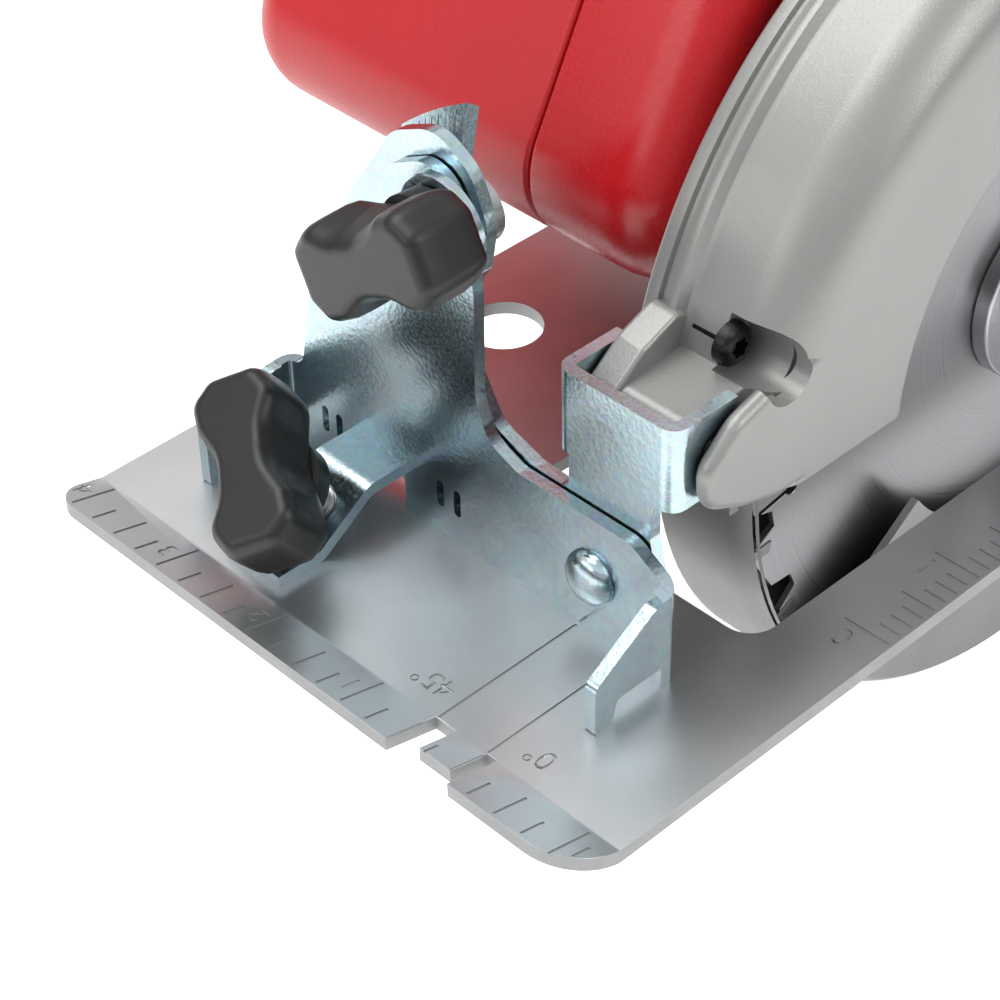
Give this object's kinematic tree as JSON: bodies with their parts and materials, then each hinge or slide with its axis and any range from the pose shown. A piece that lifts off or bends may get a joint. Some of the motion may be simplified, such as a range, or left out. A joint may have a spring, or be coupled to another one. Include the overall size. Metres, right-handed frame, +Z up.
{
  "type": "circular saw",
  "caption": "Cordless circular saw with a tilting shoe, a toothed round blade under spring guards, a geared motor, a loop handle and a slide-on battery",
  "frame": {"origin": "on the underside of the sole, on the cut line, below the arbor", "axes": "+Z up, -Y the front of the saw, +X the blade side, so X = 0 is the blade's plane"},
  "size_m": [0.1715, 0.376, 0.2591],
  "materials": {
    "shoe_steel": "satin",
    "zinc": "bright",
    "steel": "satin",
    "magnesium": "satin",
    "guard_alloy": "satin",
    "blade_steel": "brushed",
    "red_abs": "fine texture",
    "black_nylon": "fine texture",
    "grip_rubber": "matte",
    "black_steel": "black oxide",
    "copper": "bare",
    "brass": "bare",
    "iron": "bare",
    "ferrite": "matte",
    "cell_wrap": "gloss"
  },
  "bodies": {
    "base": {"shoe": "shoe_steel", "front_bracket": "zinc", "rear_bracket": "zinc", "bracket_rivets": "steel", "bevel_bolt": "steel", "bevel_washer": "steel"},
    "tilt_frame": {"tilt_plate": "zinc", "depth_arm": "zinc", "bevel_pivot_pins": "steel", "depth_pivot_pin": "steel"},
    "bevel_clamp": {"bevel_knob": "black_nylon"},
    "fence_clamp": {"fence_knob": "black_nylon", "fence_screw": "steel"},
    "saw_body": {"upper_guard": "magnesium", "guard_screws": "black_steel", "gear_case": "magnesium", "spindle_bearings": "steel", "motor_housing": "red_abs", "motor_cover": "red_abs", "motor_can": "iron", "magnets": "ferrite", "motor_bearings": "steel", "brush_holders": "brass", "brushes": "ferrite", "handle_left": "red_abs", "handle_right": "red_abs", "grip_pad": "grip_rubber", "front_grip": "grip_rubber", "switch_module": "black_nylon", "battery_mount": "red_abs", "housing_screws": "black_steel", "depth_bolt": "steel", "guard_spring": "steel", "guard_bumper": "grip_rubber"},
    "depth_clamp": {"depth_lever": "black_nylon"},
    "retracting_guard": {"lower_guard": "guard_alloy", "guard_lever": "black_nylon"},
    "arbor": {"spindle": "steel", "spindle_gear": "steel", "inner_flange": "steel", "saw_blade": "blade_steel", "outer_flange": "steel", "blade_bolt": "black_steel"},
    "rotor": {"rotor_shaft": "steel", "rotor_core": "iron", "commutator": "copper", "fan": "black_nylon"},
    "trigger_part": {"trigger": "black_nylon"},
    "lock_off_part": {"lock_off_button": "black_nylon"},
    "spindle_lock_part": {"spindle_lock_button": "black_nylon"},
    "battery": {"battery_case": "black_nylon", "battery_lid": "red_abs", "battery_cells": "cell_wrap"},
    "latch_left_part": {"battery_latch_left": "black_nylon"},
    "latch_right_part": {"battery_latch_right": "black_nylon"},
    "wrench_part": {"hex_wrench": "black_steel"}
  },
  "joints": [
    {"name": "bevel_tilt", "type": "hinge", "parent": "base", "child": "tilt_frame", "pos_m": [-0.009, 0, 0.016], "axis": [0, 1, 0], "range_deg": [0, 50]},
    {"name": "bevel_knob_turn", "type": "hinge", "parent": "base", "child": "bevel_clamp", "pos_m": [-0.04366, -0.12, 0.07369], "axis": [0, 1, 0], "range_deg": [-180, 180]},
    {"name": "fence_knob_turn", "type": "hinge", "parent": "base", "child": "fence_clamp", "pos_m": [-0.065, -0.127, 0.01], "axis": [0, -0.6428, 0.766], "range_deg": [-180, 180]},
    {"name": "depth_swing", "type": "hinge", "parent": "tilt_frame", "child": "saw_body", "pos_m": [0, -0.098, 0.046], "axis": [1, 0, 0], "range_deg": [0, 30]},
    {"name": "depth_lever_turn", "type": "hinge", "parent": "saw_body", "child": "depth_clamp", "pos_m": [-0.03, 0.07789, 0.03986], "axis": [1, 0, 0], "range_deg": [0, 35]},
    {"name": "lower_guard_turn", "type": "hinge", "parent": "saw_body", "child": "retracting_guard", "pos_m": [0, 0, 0.0285], "axis": [1, 0, 0], "range_deg": [0, 110], "stiffness_Nm_per_rad": 0.15, "springref_deg": -34.38},
    {"name": "blade_spin", "type": "hinge", "parent": "saw_body", "child": "arbor", "pos_m": [0, 0, 0.0285], "axis": [1, 0, 0], "continuous": true},
    {"name": "rotor_spin", "type": "hinge", "parent": "saw_body", "child": "rotor", "pos_m": [-0.06, -0.0165, 0.0505], "axis": [1, 0, 0], "continuous": true},
    {"name": "trigger_pull", "type": "slide", "parent": "saw_body", "child": "trigger_part", "axis": [0, 0.5, 0.866], "range_m": [0, 0.006], "stiffness_N_per_m": 600, "springref_m": -0.004},
    {"name": "lock_off_press", "type": "slide", "parent": "saw_body", "child": "lock_off_part", "axis": [0, 0, -1], "range_m": [0, 0.003], "stiffness_N_per_m": 600, "springref_m": -0.003},
    {"name": "spindle_lock_press", "type": "slide", "parent": "saw_body", "child": "spindle_lock_part", "axis": [1, 0, 0], "range_m": [0, 0.0042], "stiffness_N_per_m": 600, "springref_m": -0.003},
    {"name": "battery_slide", "type": "slide", "parent": "saw_body", "child": "battery", "axis": [0, 1, 0], "range_m": [0, 0.07]},
    {"name": "latch_left_press", "type": "slide", "parent": "battery", "child": "latch_left_part", "axis": [1, 0, 0], "range_m": [0, 0.003], "stiffness_N_per_m": 500, "springref_m": -0.003},
    {"name": "latch_right_press", "type": "slide", "parent": "battery", "child": "latch_right_part", "axis": [-1, 0, 0], "range_m": [0, 0.003], "stiffness_N_per_m": 500, "springref_m": -0.003},
    {"name": "wrench_slide", "type": "slide", "parent": "saw_body", "child": "wrench_part", "axis": [0, 1, 0], "range_m": [0, 0.06]}
  ],
  "couplings": [
    {"joint": "rotor_spin", "follows": "blade_spin", "ratio": -4}
  ]
}
